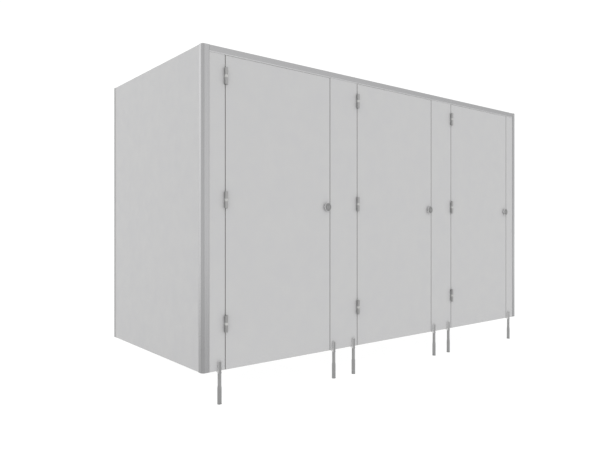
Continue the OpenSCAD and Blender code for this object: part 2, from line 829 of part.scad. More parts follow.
// Lock case: a cover over the crank and the bolt, with rails inside that guide the bolt
module lock_case(i) {
    guide = bolt_body_h / 2 + bolt_clear;
    color(steel) in_row() difference() {
        at_lock(i) difference() {
            intersection() {
                block([case_left, panel_t, -case_h / 2], [case_right, case_y, case_h / 2]);
                translate([0, 0, -case_h / 2]) linear_extrude(case_h)
                    bevelled([case_left, panel_t - 2], [case_right, case_y], 2);
                translate([case_left, 0, 0]) rotate([90, 0, 90]) linear_extrude(case_l)
                    bevelled([panel_t - 2, -case_h / 2], [case_y, case_h / 2], 2);
            }
            // room for the crank, then for the bolt
            block(
                [-crank_r - crank_pin_r - 4, panel_t - bite, -guide],
                [case_right - case_wall, bolt_y, guide]
            );
            block(
                [case_left + case_wall, bolt_y - bolt_clear, -guide],
                [case_right - case_wall, bolt_y + bolt_t + bolt_clear, guide]
            );
            // mouth for the tongue
            block(
                [case_right - case_wall - bite, bolt_y - bolt_clear, -bolt_tongue_h / 2 - bolt_clear],
                [case_right + bite, bolt_y + bolt_t + bolt_clear, bolt_tongue_h / 2 + bolt_clear]
            );
            // bore for the spindle
            translate([0, bolt_y, 0]) facing_back() cylinder(h = case_y, r = spindle_r + spindle_clear);
        }
        at_case_screws(i) screw_room();
    }
}

// Sliding bolt: the body has a slot for the spindle and one across it for the crank pin
module bolt(i) {
    pin_room = crank_pin_r + crank_play;
    spindle_room = spindle_r + 0.5;
    color(steel) in_row() at_lock(i) translate([0, bolt_y, 0]) difference() {
        union() {
            block([bolt_tail, 0, -bolt_body_h / 2], [bolt_step, bolt_t, bolt_body_h / 2]);
            intersection() {
                block([bolt_step - 1, 0, -bolt_tongue_h / 2], [bolt_tip, bolt_t, bolt_tongue_h / 2]);
                translate([0, 0, -bolt_tongue_h / 2]) linear_extrude(bolt_tongue_h)
                    bevelled([bolt_step - 4, 0], [bolt_tip, bolt_t], 1);
            }
        }
        block(
            [-bolt_throw - spindle_room, -bite, -spindle_room],
            [spindle_room, bolt_t + bite, spindle_room]
        );
        block(
            [-bolt_throw / 2 - pin_room, -bite, 0],
            [-bolt_throw / 2 + pin_room, bolt_t + bite, crank_r + pin_room]
        );
    }
}

module lock_keeps() {
    half = bolt_tongue_h / 2 + keep_play;
    color(steel) in_row() for (i = [1:cubicles]) difference() {
        translate([lock_x(i), 0, lock_z]) difference() {
            union() {
                translate([0, panel_t, 0])
                    round_plate(keep_x, keep_x + keep_w, -keep_h / 2, keep_h / 2, keep_t, 4);
                intersection() {
                    block([keep_x, panel_t, -keep_body_h / 2], [keep_x + keep_w, keep_y, keep_body_h / 2]);
                    translate([0, 0, -keep_body_h / 2]) linear_extrude(keep_body_h)
                        bevelled([keep_x, panel_t - 2], [keep_x + keep_w, keep_y], 1.5);
                }
            }
            block(
                [keep_x - bite, bolt_y - keep_play, -half],
                [max(keep_reach, keep_x + keep_w - keep_t), bolt_y + bolt_t + keep_play, half]
            );
        }
        at_keep_screws(i) screw_room();
    }
}

// ---------- door stop ----------

module stop_profile() {
    translate([stop_x0, panel_t]) square([stop_foot, stop_seat + alu_t]);
    translate([-half_gap - stop_lap, panel_t + stop_seat]) square([stop_x0 + half_gap + stop_lap + 1, alu_t]);
}

module door_stops() {
    color(aluminium) in_row() for (i = [1:cubicles]) difference() {
        for (span = stop_spans) translate([lock_x(i), 0, span[0]])
            linear_extrude(span[1] - span[0]) stop_profile();
        at_stop_screws(i) screw_room();
    }
}

// Soft strip on the stop that the closed door meets
module stop_seals() {
    seal_w = stop_lap - 3;
    lip_r = 1;
    color(rubber) in_row() for (i = [1:cubicles]) for (span = stop_spans)
        translate([lock_x(i) - half_gap - stop_lap + 1, 0, span[0] + 2]) linear_extrude(span[1] - span[0] - 4) {
            translate([0, panel_t + seal_gap + lip_r]) square([seal_w, stop_seat - seal_gap - lip_r]);
            translate([lip_r, panel_t + seal_gap]) square([seal_w - 2 * lip_r, stop_seat - seal_gap]);
            for (x = [lip_r, seal_w - lip_r]) translate([x, panel_t + seal_gap + lip_r]) circle(lip_r);
        }
}

// ---------- coat hook ----------

module at_hook(i) {
    translate([hinge_x(i) + door_bay / 2, 0, hook_z]) children();
}

module hook_screw_place() {
    translate([hook_rose_r - screw_head_r - 2, panel_t + 5, 0]) facing_back() children();
}

// Coat hook: a rose, a stem that tips up and a round buffer end
module coat_hook(i) {
    stem_r = 5;
    buffer_r = 11;
    color(steel) in_row() at_hook(i) difference() {
        translate([0, panel_t, 0]) facing_back() {
            rotate_extrude() {
                square([hook_rose_r, 5]);
                square([stem_r, hook_out - 8]);
                translate([0, hook_out - 12]) square([buffer_r - 2, 12]);
                translate([0, hook_out - 10]) square([buffer_r, 8]);
                for (z = [hook_out - 10, hook_out - 2]) translate([buffer_r - 2, z]) circle(2);
            }
            translate([0, 0, hook_out * 0.45]) rotate([90, 0, 0]) cylinder(h = 24, r = 3.5);
            translate([0, -24, hook_out * 0.45]) sphere(5);
        }
        for (a = [0, 180]) rotate([0, a, 0]) hook_screw_place() screw_room();
    }
}

// ---------- screws ----------

module frame_screws() {
    color(steel) in_row() {
        for (side = [-1, 1]) on_side(side) {
            at_post_front_screws() screw();
            at_post_side_screws() screw();
        }
        for (j = [0:3]) at_side_fixings(j) screw();
        for (k = [1:cubicles - 1]) {
            at_partition_side_screws(k) screw();
            at_partition_web_screws(k) screw();
        }
        for (i = [1:cubicles]) {
            at_wing_screws(i, -1) screw();
            at_keep_screws(i) screw();
            at_stop_screws(i) screw();
        }
    }
}

module door_screws(i) {
    color(steel) in_row() {
        at_wing_screws(i, 1) screw();
        at_case_screws(i) screw();
        at_hook(i) for (a = [0, 180]) rotate([0, a, 0]) hook_screw_place() screw();
        at_knob_screws(i) knob_screw();
    }
}

// ---------- pedestals ----------

// Fork: a round seat, a half-round front that runs up the panel's face, and a flat cheek behind it
module pedestal_forks() {
    top_bevel = 1.5;
    top = floor_gap + fork_h;
    color(steel) in_row() at_pedestals() difference() {
        union() {
            translate([0, 0, rod_top]) cylinder(h = top - top_bevel - rod_top, r = fork_r);
            translate([0, 0, top - top_bevel])
                cylinder(h = top_bevel, r1 = fork_r, r2 = fork_r - top_bevel);
            block([-fork_w / 2, 0, rod_top], [fork_w / 2, fork_back, floor_gap]);
            translate([0, fork_cheek, 0]) round_plate(-fork_w / 2, fork_w / 2, rod_top, top, fork_t, 3);
        }
        // room for the panel
        block([-fork_w, fork_face, floor_gap], [fork_w, fork_cheek, top + bite]);
        translate([0, 0, rod_top - bite]) cylinder(h = bite + spigot_h + 0.2, r = spigot_r + screw_clear);
        // the bolt comes from inside and ends in the front
        translate([0, fork_bolt_tip - 0.3, fork_bolt_z]) facing_back()
            cylinder(h = fork_back - fork_bolt_tip + bite, r = fork_bolt_r + screw_clear);
    }
}

module pedestal_bolts() {
    color(steel) in_row() at_pedestals() translate([0, 0, fork_bolt_z]) difference() {
        union() {
            translate([0, fork_bolt_tip, 0]) facing_back()
                cylinder(h = fork_back - fork_bolt_tip, r = fork_bolt_r);
            translate([0, fork_back, 0]) facing_back()
                cylinder(h = 3, r1 = fork_bolt_r + 3, r2 = fork_bolt_r + 2);
        }
        translate([0, fork_back + 1, 0]) facing_back() cylinder(h = 3, r = fork_bolt_r * 0.7, $fn = 6);
    }
}

module pedestal_rods() {
    color(steel) in_row() at_pedestals() {
        translate([0, 0, rod_bottom]) cylinder(h = rod_top - rod_bottom, r = rod_r);
        translate([0, 0, rod_top - 1]) cylinder(h = spigot_h + 1, r = spigot_r);
    }
}

// Round lock nut with four notches for a hook spanner
module pedestal_locknuts() {
    notch_w = 3;
    color(steel) in_row() at_pedestals() translate([0, 0, rod_top - nut_h]) difference() {
        cylinder(h = nut_h, r = sleeve_r);
        translate([0, 0, -bite]) cylinder(h = nut_h + 2 * bite, r = rod_r + rod_clear);
        for (a = [45:90:315]) rotate([0, 0, a]) translate([sleeve_r - sleeve_wall / 2, -notch_w / 2, -bite])
            cube([sleeve_wall, notch_w, bite + nut_h * 0.6]);
    }
}

// Foot: a sleeve with a tapered top that screws up and down on its rod
module foot(n) {
    neck = rod_r + rod_clear + sleeve_wall * 0.45;
    color(steel) in_row() translate([pedestal_xs[n - 1], -pedestal_off, 0]) difference() {
        union() {
            cylinder(h = base_h - 1, r = base_r);
            translate([0, 0, base_h - 1]) cylinder(h = 1, r1 = base_r, r2 = base_r - 1);
            cylinder(h = sleeve_h - sleeve_taper, r = sleeve_r);
            translate([0, 0, sleeve_h - sleeve_taper]) cylinder(h = sleeve_taper, r1 = sleeve_r, r2 = neck);
        }
        translate([0, 0, sleeve_floor]) cylinder(h = sleeve_h, r = rod_r + rod_clear);
    }
}

// ---------- the row ----------

head_rail();
head_strips();
corner_post(-1);  // corner_post_left
corner_post(1);  // corner_post_right
corner_caps();
end_panel(-1);  // end_panel_left
end_panel(1);  // end_panel_right
partition(1);  // partition_1
partition(2);  // partition_2
pilaster_left();
pilaster_between(1);  // pilaster_1
pilaster_between(2);  // pilaster_2
pilaster_right();
wall_channels();
partition_channels();
pedestal_forks();
pedestal_rods();
pedestal_locknuts();
pedestal_bolts();
foot(1);  // foot_1
foot(2);  // foot_2
foot(3);  // foot_3
foot(4);  // foot_4
foot(5);  // foot_5
foot(6);  // foot_6
hinge_frame_wings();
hinge_pins();
hinge_bushes();
lock_keeps();
door_stops();
stop_seals();
frame_screws();
door(1);  // door_1
hinge_door_wings(1);  // hinge_door_wings_1
door_screws(1);  // door_screws_1
knob(1);  // knob_1
indicator(1);  // indicator_1
thumb_turn(1);  // thumb_turn_1
lock_case(1);  // lock_case_1
bolt(1);  // bolt_1
coat_hook(1);  // coat_hook_1
door(2);  // door_2
hinge_door_wings(2);  // hinge_door_wings_2
door_screws(2);  // door_screws_2
knob(2);  // knob_2
indicator(2);  // indicator_2
thumb_turn(2);  // thumb_turn_2
lock_case(2);  // lock_case_2
bolt(2);  // bolt_2
coat_hook(2);  // coat_hook_2
door(3);  // door_3
hinge_door_wings(3);  // hinge_door_wings_3
door_screws(3);  // door_screws_3
knob(3);  // knob_3
indicator(3);  // indicator_3
thumb_turn(3);  // thumb_turn_3
lock_case(3);  // lock_case_3
bolt(3);  // bolt_3
coat_hook(3);  // coat_hook_3
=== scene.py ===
"""A row of three toilet cubicles in compact laminate: its finishes, its turned and moulded small parts,
and the studio around it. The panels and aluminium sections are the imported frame's own solids."""

import json
import math

import bpy
import numpy as np
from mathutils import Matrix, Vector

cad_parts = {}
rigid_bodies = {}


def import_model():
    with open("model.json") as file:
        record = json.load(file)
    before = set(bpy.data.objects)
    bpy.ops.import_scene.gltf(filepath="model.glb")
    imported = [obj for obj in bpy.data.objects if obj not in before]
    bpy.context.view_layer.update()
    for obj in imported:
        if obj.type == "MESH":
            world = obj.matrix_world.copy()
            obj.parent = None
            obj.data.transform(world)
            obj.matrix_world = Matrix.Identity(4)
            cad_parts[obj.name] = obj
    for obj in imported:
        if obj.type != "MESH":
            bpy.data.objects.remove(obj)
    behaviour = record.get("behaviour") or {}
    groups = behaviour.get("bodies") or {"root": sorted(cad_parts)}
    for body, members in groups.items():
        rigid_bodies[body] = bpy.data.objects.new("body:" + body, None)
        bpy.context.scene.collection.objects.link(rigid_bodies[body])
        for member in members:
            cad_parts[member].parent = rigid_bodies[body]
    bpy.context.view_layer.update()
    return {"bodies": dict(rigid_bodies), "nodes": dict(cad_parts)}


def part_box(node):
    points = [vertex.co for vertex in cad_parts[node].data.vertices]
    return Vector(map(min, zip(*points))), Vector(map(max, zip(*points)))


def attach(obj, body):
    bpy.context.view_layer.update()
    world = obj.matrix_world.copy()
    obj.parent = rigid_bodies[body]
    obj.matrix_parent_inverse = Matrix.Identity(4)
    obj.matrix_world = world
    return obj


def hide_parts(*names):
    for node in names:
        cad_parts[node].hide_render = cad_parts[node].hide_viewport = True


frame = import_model()
nodes = frame["nodes"]
# an open door and a quarter turn together are where Euler angles lose precision: the thumb turn came out
# 0.6 mm off its place at that pose, and quaternions keep it there
for body in frame["bodies"].values():
    body.rotation_mode = "QUATERNION"

MM = 0.001
CUBICLES = (1, 2, 3)
FEET = (1, 2, 3, 4, 5, 6)
X, Y, Z = np.eye(3)
ALONG_X, ALONG_Z = 0, 2
FULL_TURN = 2 * math.pi
CORE = 0.5  # small solid turned forms start this far from their axis, and a fan fills the rest
TOUCH = 0.01  # a radius within this many millimetres of the outermost counts as outermost


# ---------------------------------------------------------------- where the frame has things

def corners(node):
    """Lowest and highest corner of a CAD node, in millimetres."""
    low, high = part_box(node)
    return np.array(low) / MM, np.array(high) / MM


def places(node, axis):
    """Every place along one axis where a CAD node has a point, in order and in millimetres."""
    points = np.zeros(len(nodes[node].data.vertices) * 3)
    nodes[node].data.vertices.foreach_get("co", points)
    return np.unique(np.round(points.reshape(-1, 3)[:, axis] / MM, 3))


def ranges(node, axis):
    """The ranges [from, to] that a node's solids cover along one axis, in millimetres: its places, parted
    wherever two that follow each other are more than 100 mm apart."""
    apart = 100.0
    along = places(node, axis)
    cuts = np.flatnonzero(np.diff(along) > apart)
    return np.stack([along[np.r_[0, cuts + 1]], along[np.r_[cuts, -1]]], axis=1)


# ---------------------------------------------------------------- surfaces

def filleted(outline, steps=6):
    """A polyline with round corners, from points (x, y, radius of the corner). Each corner becomes an arc of
    its radius that touches both of its sides; a radius of 0 keeps it sharp. The two ends have no corner."""
    outline = np.array(outline, float)
    points, radii = outline[:, :2], outline[1:-1, 2]
    nearly_straight = 1.56  # half the angle between two sides, in radians
    out = [points[:1]]
    for before, corner, after, radius in zip(points, points[1:], points[2:], radii):
        a, b = before - corner, after - corner
        a, b = a / np.linalg.norm(a), b / np.linalg.norm(b)
        half = math.acos(np.clip(a @ b, -1, 1)) / 2
        if radius <= 0 or half > nearly_straight:
            out.append(corner[None])
            continue
        reach = radius / math.tan(half)
        centre = corner + (a + b) / np.linalg.norm(a + b) * radius / math.sin(half)
        start, end = corner + a * reach - centre, corner + b * reach - centre
        sweep = math.pi - 2 * half
        t = np.linspace(0, 1, steps + 1)[:, None]
        arc = (np.sin((1 - t) * sweep) * start + np.sin(t * sweep) * end) / math.sin(sweep)
        out.append(centre + arc)
    return np.concatenate(out + [points[-1:]])


def grid_faces(rows, columns, closed_rows=False):
    """Four-sided faces over a grid of points whose columns close into rings."""
    r = np.arange(rows if closed_rows else rows - 1)[:, None]
    c = np.arange(columns)[None, :]
    below, above = r * columns, (r + 1) % rows * columns
    right = (c + 1) % columns
    faces = np.stack([below + c, below + right, above + right, above + c], axis=-1)
    return faces.reshape(-1, 4)


def shell(rings, closed_rows=False):
    """One closed shell from rings of points, shape (rows, columns, 3). Its open ends are filled with a fan
    round their middle point, unless the rows close on themselves as on a ring."""
    rows, columns = rings.shape[:2]
    points = rings.reshape(-1, 3)
    faces = grid_faces(rows, columns, closed_rows).tolist()
    if not closed_rows:
        c = np.arange(columns)
        after = (c + 1) % columns
        last = (rows - 1) * columns
        start, end = rings[0].mean(axis=0), rings[-1].mean(axis=0)
        faces += np.stack([after, c, np.full(columns, len(points))], axis=1).tolist()
        faces += np.stack([last + c, last + after, np.full(columns, len(points) + 1)], axis=1).tolist()
        points = np.concatenate([points, [start, end]])
    return points, faces


def volume(points, faces):
    """Signed volume under a shell: the sum over its triangles of a sixth of the corners' box product."""
    triangles = [(f[0], f[k], f[k + 1]) for f in faces for k in range(1, len(f) - 1)]
    a, b, c = points[np.array(triangles)].transpose(1, 0, 2)
    return (a * np.cross(b, c)).sum() / 6


def piece(name, shells, material, body, stands_for):
    """A piece in the row's frame from its shells, given in millimetres, that stands for a CAD node. Shells
    that come out inside out are turned, and edges of 38 degrees and more stay sharp."""
    sharp_from = math.radians(38)
    points, faces, first = [], [], 0
    for shell_points, shell_faces in shells:
        if volume(shell_points, shell_faces) < 0:
            shell_faces = [f[::-1] for f in shell_faces]
        faces += [[k + first for k in f] for f in shell_faces]
        points.append(shell_points)
        first += len(shell_points)
    mesh = bpy.data.meshes.new(name)
    mesh.from_pydata((np.concatenate(points) * MM).tolist(), [], faces)
    mesh.polygons.foreach_set("use_smooth", np.ones(len(faces), bool))
    mesh.set_sharp_from_angle(angle=sharp_from)
    mesh.materials.append(material)
    made = bpy.data.objects.new(name, mesh)
    bpy.context.scene.collection.objects.link(made)
    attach(made, body)
    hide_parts(stands_for)


def turned(profile, at, axis, columns=48, closed=False, shape=None):
    """A turned form: each point (radius, height) of the profile is carried once round the axis.
    `shape`, where it is given, changes radius and height by the angle."""
    axis = np.array(axis, float)
    nearly_along = 0.9
    side = np.cross(axis, X if abs(axis @ X) < nearly_along else Y)
    side /= np.linalg.norm(side)
    other = np.cross(axis, side)
    angle = np.linspace(0, FULL_TURN, columns, endpoint=False)[None, :]
    profile = np.array(profile, float)
    radius, height = profile[:, :1] + 0 * angle, profile[:, 1:] + 0 * angle
    if shape:
        radius, height = shape(radius, height, angle)
    rings = (
        np.array(at, float)
        + radius[..., None] * (np.cos(angle)[..., None] * side + np.sin(angle)[..., None] * other)
        + height[..., None] * axis
    )
    return shell(rings, closed_rows=closed)


def peg(radius, start, end, start_fillet=0.4, end_fillet=0.4):
    """The profile of a round peg from one height to another, with rounded ends."""
    return filleted([
        (CORE, start, 0), (radius, start, start_fillet), (radius, end, end_fillet), (CORE, end, 0),
    ])


def swept(path, widths, up, section=None):
    """A form along a path: at each point of the path a ring lies square to the path's direction, scaled by
    that point's widths (one across, one along `up`). The ring is a circle unless a section is given."""
    columns = 24
    path, widths = np.array(path, float), np.array(widths, float)
    along = np.gradient(path, axis=0)
    along /= np.linalg.norm(along, axis=1, keepdims=True)
    across = np.cross(along, up)
    across /= np.linalg.norm(across, axis=1, keepdims=True)
    over = np.cross(across, along)
    if section is None:
        angle = np.linspace(0, FULL_TURN, columns, endpoint=False)
        section = np.stack([np.cos(angle), np.sin(angle)], axis=1)
    rings = (
        path[:, None]
        + section[None, :, :1] * widths[:, None, :1] * across[:, None]
        + section[None, :, 1:] * widths[:, None, 1:] * over[:, None]
    )
    return shell(rings)


def bezier(a, b, c, d, steps):
    """Points on a cubic curve from a to d that leaves towards b and arrives from c."""
    t = np.linspace(0, 1, steps)[:, None]
    a, b, c, d = (np.array(p, float) for p in (a, b, c, d))
    return (1 - t) ** 3 * a + 3 * t * (1 - t) ** 2 * b + 3 * t**2 * (1 - t) * c + t**3 * d


def superellipse(power, columns=40):
    """A closed outline |x|^p + |y|^p = 1, which goes from a circle at power 2 towards a square."""
    angle = np.linspace(0, FULL_TURN, columns, endpoint=False)
    c, s = np.cos(angle), np.sin(angle)
    return np.stack([np.sign(c) * np.abs(c) ** (2 / power), np.sign(s) * np.abs(s) ** (2 / power)], axis=1)


# ---------------------------------------------------------------- materials

def linear(hex_colour):
    """Linear RGBA of an sRGB hex colour."""
    srgb = np.array([int(hex_colour[k : k + 2], 16) for k in (1, 3, 5)]) / 255
    rgb = np.where(srgb <= 0.04045, srgb / 12.92, ((srgb + 0.055) / 1.055) ** 2.4)
    return (*rgb.tolist(), 1.0)


def add(tree, kind, sockets=None, **settings):
    """Adds a node with its settings. A socket given another node's output is linked to it, and one given a
    value keeps the value."""
    made = tree.nodes.new("ShaderNode" + kind)
    for name, value in settings.items():
        setattr(made, name, value)
    for name, value in (sockets or {}).items():
        if isinstance(value, bpy.types.NodeSocket):
            tree.links.new(value, made.inputs[name])
        else:
            made.inputs[name].default_value = value
    return made


def maths(tree, operation, *values, **settings):
    """A number from other numbers."""
    return add(tree, "Math", dict(enumerate(values)), operation=operation, **settings).outputs["Value"]


def mapped(tree, value, over, to):
    """A value carried from one range to another, and held at its ends."""
    ends = {"Value": value, "From Min": over[0], "From Max": over[1], "To Min": to[0], "To Max": to[1]}
    return add(tree, "MapRange", ends).outputs["Result"]


def noise(tree, where, size_mm, detail):
    """Noise with patches of about that size in millimetres."""
    sockets = {"Vector": where, "Scale": 1000 / size_mm, "Detail": detail}
    return add(tree, "TexNoise", sockets).outputs["Fac"]


def lined(tree, where, spacing, detail):
    """Noise drawn out into lines. `spacing` is their size along x, y and z, in millimetres: long along the
    direction of the belt, the die or the tool, short across it."""
    scale = [1000 / size_mm for size_mm in spacing]
    stretched = add(tree, "Mapping", {"Vector": where, "Scale": scale}).outputs["Vector"]
    return add(tree, "TexNoise", {"Vector": stretched, "Scale": 1.0, "Detail": detail}).outputs["Fac"]


NOISE_SPAN = (0.3, 0.7)  # most of a noise's values lie between these


def mottled(tree, where, size_mm, to=(0.0, 1.0)):
    """A value in the range `to` that varies over patches of that size in millimetres."""
    return mapped(tree, noise(tree, where, size_mm, detail=3.0), NOISE_SPAN, to)


def give_or_take(value, amount):
    """The range that reaches that amount to both sides of a value."""
    return value - amount, value + amount


def between(tree, factor, first, second):
    """A colour mixed from two by a factor."""
    return add(tree, "Mix", {"Factor": factor, "A": first, "B": second}, data_type="RGBA").outputs["Result"]


def new_material(name, sockets):
    """A material of one Principled shader, with these values on its own sockets."""
    made = bpy.data.materials.new(name)
    made.use_nodes = True
    tree = made.node_tree
    tree.nodes.clear()
    shader = add(tree, "BsdfPrincipled", sockets)
    out = add(tree, "OutputMaterial")
    tree.links.new(shader.outputs["BSDF"], out.inputs["Surface"])
    return made, tree, shader


def surface(tree, shader, colour, roughness):
    """Gives a shader its colour and its roughness."""
    tree.links.new(colour, shader.inputs["Base Color"])
    tree.links.new(roughness, shader.inputs["Roughness"])


def relief(tree, shader, height, strength, depth_mm):
    """Gives a shader a fine relief of that depth in millimetres."""
    bump = {"Height": height, "Strength": strength, "Distance": depth_mm * MM}
    tree.links.new(add(tree, "Bump", bump).outputs["Normal"], shader.inputs["Normal"])


METAL = {"Metallic": 1.0, "IOR": 1.5}


def laminate(name, thickness_axis, low, high):
    """Compact laminate: kraft paper and resin pressed between melamine faces. The face is matt with a fine
    pearl grain and a sheen that is never quite even; a cut edge shows the plain grey core."""
    made, tree, shader = new_material(name, {"IOR": 1.5, "Specular IOR Level": 0.35})
    where = add(tree, "TexCoord").outputs
    at = where["Object"]
    face = between(tree, mottled(tree, at, size_mm=90), linear(low), linear(high))
    core = between(tree, mottled(tree, at, size_mm=6), linear("#787674"), linear("#82807E"))
    facing = add(tree, "SeparateXYZ", {"Vector": where["Normal"]}).outputs[thickness_axis]
    face_from = 0.8
    is_face = maths(tree, "GREATER_THAN", maths(tree, "ABSOLUTE", facing), face_from)
    sheen = mottled(tree, at, size_mm=40, to=(0.46, 0.54))
    surface(tree, shader, between(tree, is_face, core, face), sheen)
    # the pearl grain is about 0.5 mm in the real thing, drawn at 2 mm so that it shows close up
    relief(tree, shader, noise(tree, at, size_mm=2, detail=2.0), strength=0.12, depth_mm=0.2)
    return made


def extruded_aluminium(name, length_axis, low, high, roughness, painted_light_below=None):
    """Extruded aluminium, satin anodised: a soft metal grey with faint die lines, about 1 mm apart, that run
    along the section. Below the height that is given, in millimetres, its colour is painted lighter: a
    painted highlight that lifts the shade on the rail's lower lip."""
    made, tree, shader = new_material(name, METAL)
    where = add(tree, "TexCoord").outputs["Object"]
    spacing = [1, 1, 1]
    spacing[length_axis] = 500
    lines = lined(tree, where, spacing, detail=2.0)
    colour = between(tree, lines, linear(low), linear(high))
    if painted_light_below is not None:
        height = add(tree, "SeparateXYZ", {"Vector": where}).outputs["Z"]
        is_painted_lip = maths(tree, "LESS_THAN", height, painted_light_below * MM)
        # painted highlight: the lip's colour is made lighter to lift the shade under the bead line
        colour = between(tree, is_painted_lip, colour, linear("#D2D2D3"))
    surface(tree, shader, colour, mapped(tree, lines, NOISE_SPAN, give_or_take(roughness, 0.02)))
    relief(tree, shader, lines, strength=0.08, depth_mm=0.05)
    return made


def steel(name, low, high, spacing, roughness):
    """Stainless steel, grade 304, with the fine lines of its finishing."""
    made, tree, shader = new_material(name, METAL)
    lines = lined(tree, add(tree, "TexCoord").outputs["Object"], spacing, detail=3.0)
    colour = between(tree, lines, linear(low), linear(high))
    surface(tree, shader, colour, mapped(tree, lines, NOISE_SPAN, give_or_take(roughness, 0.05)))
    relief(tree, shader, lines, strength=0.2, depth_mm=0.04)
    return made


def steel_painted_by_facing(name, finish_and_shade_turns, flank_highlight_colours, face_shade_colours, flank_roughness):
    """Stainless steel, turned: the flanks are polished and mirror the panel behind them, and the face is
    matt. Its colour is painted by the way the surface faces: a painted highlight makes the flanks nearly
    white, and painted shade makes the face darker. Colour and roughness go from one to the other as the
    surface turns to the front, its normal's Y running over the range that is given; what faces straight
    back is matt and painted darker too."""
    made, tree, shader = new_material(name, METAL)
    where = add(tree, "TexCoord").outputs
    facing = add(tree, "SeparateXYZ", {"Vector": where["Normal"]}).outputs["Y"]
    to_front = mapped(tree, facing, over=finish_and_shade_turns, to=(0, 1))
    to_back = mapped(tree, facing, over=(0.6, 0.9), to=(0, 1))
    is_face = maths(tree, "ADD", to_front, to_back, use_clamp=True)
    lines = noise(tree, where["Object"], size_mm=3, detail=3.0)
    # painted light: the flanks get a nearly white painted highlight and the face a darker painted shade, mixed
    # by the way the surface faces
    flank = between(tree, lines, *map(linear, flank_highlight_colours))
    face = between(tree, lines, *map(linear, face_shade_colours))
    face_roughness = 0.4
    roughness = mapped(tree, is_face, over=(0, 1), to=(flank_roughness, face_roughness))
    surface(tree, shader, between(tree, is_face, flank, face), roughness)
    return made


def moulded(name, low, high, roughness, grain_mm, shine=0.4):
    """A moulded plastic or rubber, or a powder coat: one even colour with a light, fine texture."""
    made, tree, shader = new_material(name, {"IOR": 1.5, "Specular IOR Level": shine})
    where = add(tree, "TexCoord").outputs["Object"]
    colour = between(tree, mottled(tree, where, size_mm=12), linear(low), linear(high))
    surface(tree, shader, colour, mottled(tree, where, size_mm=5, to=give_or_take(roughness, 0.04)))
    relief(tree, shader, noise(tree, where, grain_mm, detail=2.0), strength=0.15, depth_mm=0.1)
    return made


# light grey faces on the fronts and on the panels that run back to the wall
front_laminate = laminate("compact laminate, fronts", "Y", "#B5B5B6", "#B7B7B7")
side_laminate = laminate("compact laminate, side panels", "X", "#B1B1B2", "#B4B4B4")
# satin anodised sections, bright enough to mirror light and dark sides of the room
upright_aluminium = extruded_aluminium(
    "anodised aluminium, uprights", ALONG_Z, "#B5B5B6", "#B9B9BA", roughness=0.28
)
# the rail's lower lip, 4 mm high under its bead line, is painted lighter: a painted highlight that lifts the
# shade under the bead line
painted_lip_top = corners("head_rail")[0][2] + 4
rail_aluminium = extruded_aluminium(
    "anodised aluminium, head rail", ALONG_X, "#B1B1B2", "#B5B5B6", roughness=0.3, painted_light_below=painted_lip_top
)
# wall and partition channels coated nearly in the colour of the panels
channel_aluminium = moulded(
    "aluminium, powder coated light grey", "#ADADAD", "#B0B0B0", roughness=0.6, grain_mm=0.4, shine=0.1
)
# belt-brushed plates, fine lines along the plate's height
brushed_steel = steel(
    "stainless steel, brushed", "#A2A2A2", "#B4B4B3", spacing=(0.4, 0.4, 30), roughness=0.36
)
# pins, thumb turns and hooks turned on a lathe, with rings too fine to tell apart
turned_steel = steel("stainless steel, turned", "#969696", "#A6A6A6", spacing=(3, 0.5, 3), roughness=0.32)
# knobs with mirror-bright flanks and a grey, matt face; the bright flanks are a painted highlight and the grey
# face is painted shade
knob_steel = steel_painted_by_facing(
    "stainless steel, polished with a matt face",
    finish_and_shade_turns=(-0.75, -0.9),
    flank_highlight_colours=("#F0F0F0", "#F6F6F6"),
    face_shade_colours=("#888888", "#909090"),
    flank_roughness=0.12,
)
# forks and lock nuts darken evenly from their polished flanks to their fronts, a painted shade that follows
# the way the surface faces
fork_steel = steel_painted_by_facing(
    "stainless steel, polished flanks",
    finish_and_shade_turns=(0.0, -1.0),
    flank_highlight_colours=("#ECECEC", "#F4F4F4"),
    face_shade_colours=("#9C9C9C", "#A4A4A4"),
    flank_roughness=0.25,
)
# pedestals turned from bar, with rings across their length
leg_steel = steel("stainless steel, pedestals", "#A6A6A6", "#B0B0B0", spacing=(6, 6, 0.5), roughness=0.36)
# countersunk screws, with an even grain in place of lines
screw_steel = steel("stainless steel, screws", "#9A9A9A", "#AEAEAE", spacing=(1, 1, 1), roughness=0.3)
# natural nylon of the bushes, slightly waxy
bush_nylon = moulded("nylon, natural", "#B4B4B2", "#BCBCBA", roughness=0.42, grain_mm=0.6)
# grey nylon caps in the colour of the aluminium
cap_nylon = moulded("nylon, grey", "#A9A9AA", "#B0B0B1", roughness=0.48, grain_mm=0.6)
# rigid strip over the doors, in the colour of the laminate
strip_pvc = moulded("rigid PVC, light grey", "#BABABA", "#BEBEBE", roughness=0.4, grain_mm=0.8)
# coin discs, a shade darker than the knobs' faces
disc_acetal = moulded("acetal, grey", "#828282", "#8A8A8A", roughness=0.35, grain_mm=0.5)
# dark, dull rubbers: the door seals a little lighter than the pads
seal_rubber = moulded("EPDM rubber", "#5A5A5B", "#666667", roughness=0.62, grain_mm=0.8)
pad_rubber = moulded("EPDM rubber, glides and buffers", "#444445", "#505051", roughness=0.66, grain_mm=0.8)


def numbered(name, numbers=CUBICLES):
    """The names of CAD nodes that there is one of for each number."""
    return [f"{name}_{n}" for n in numbers]


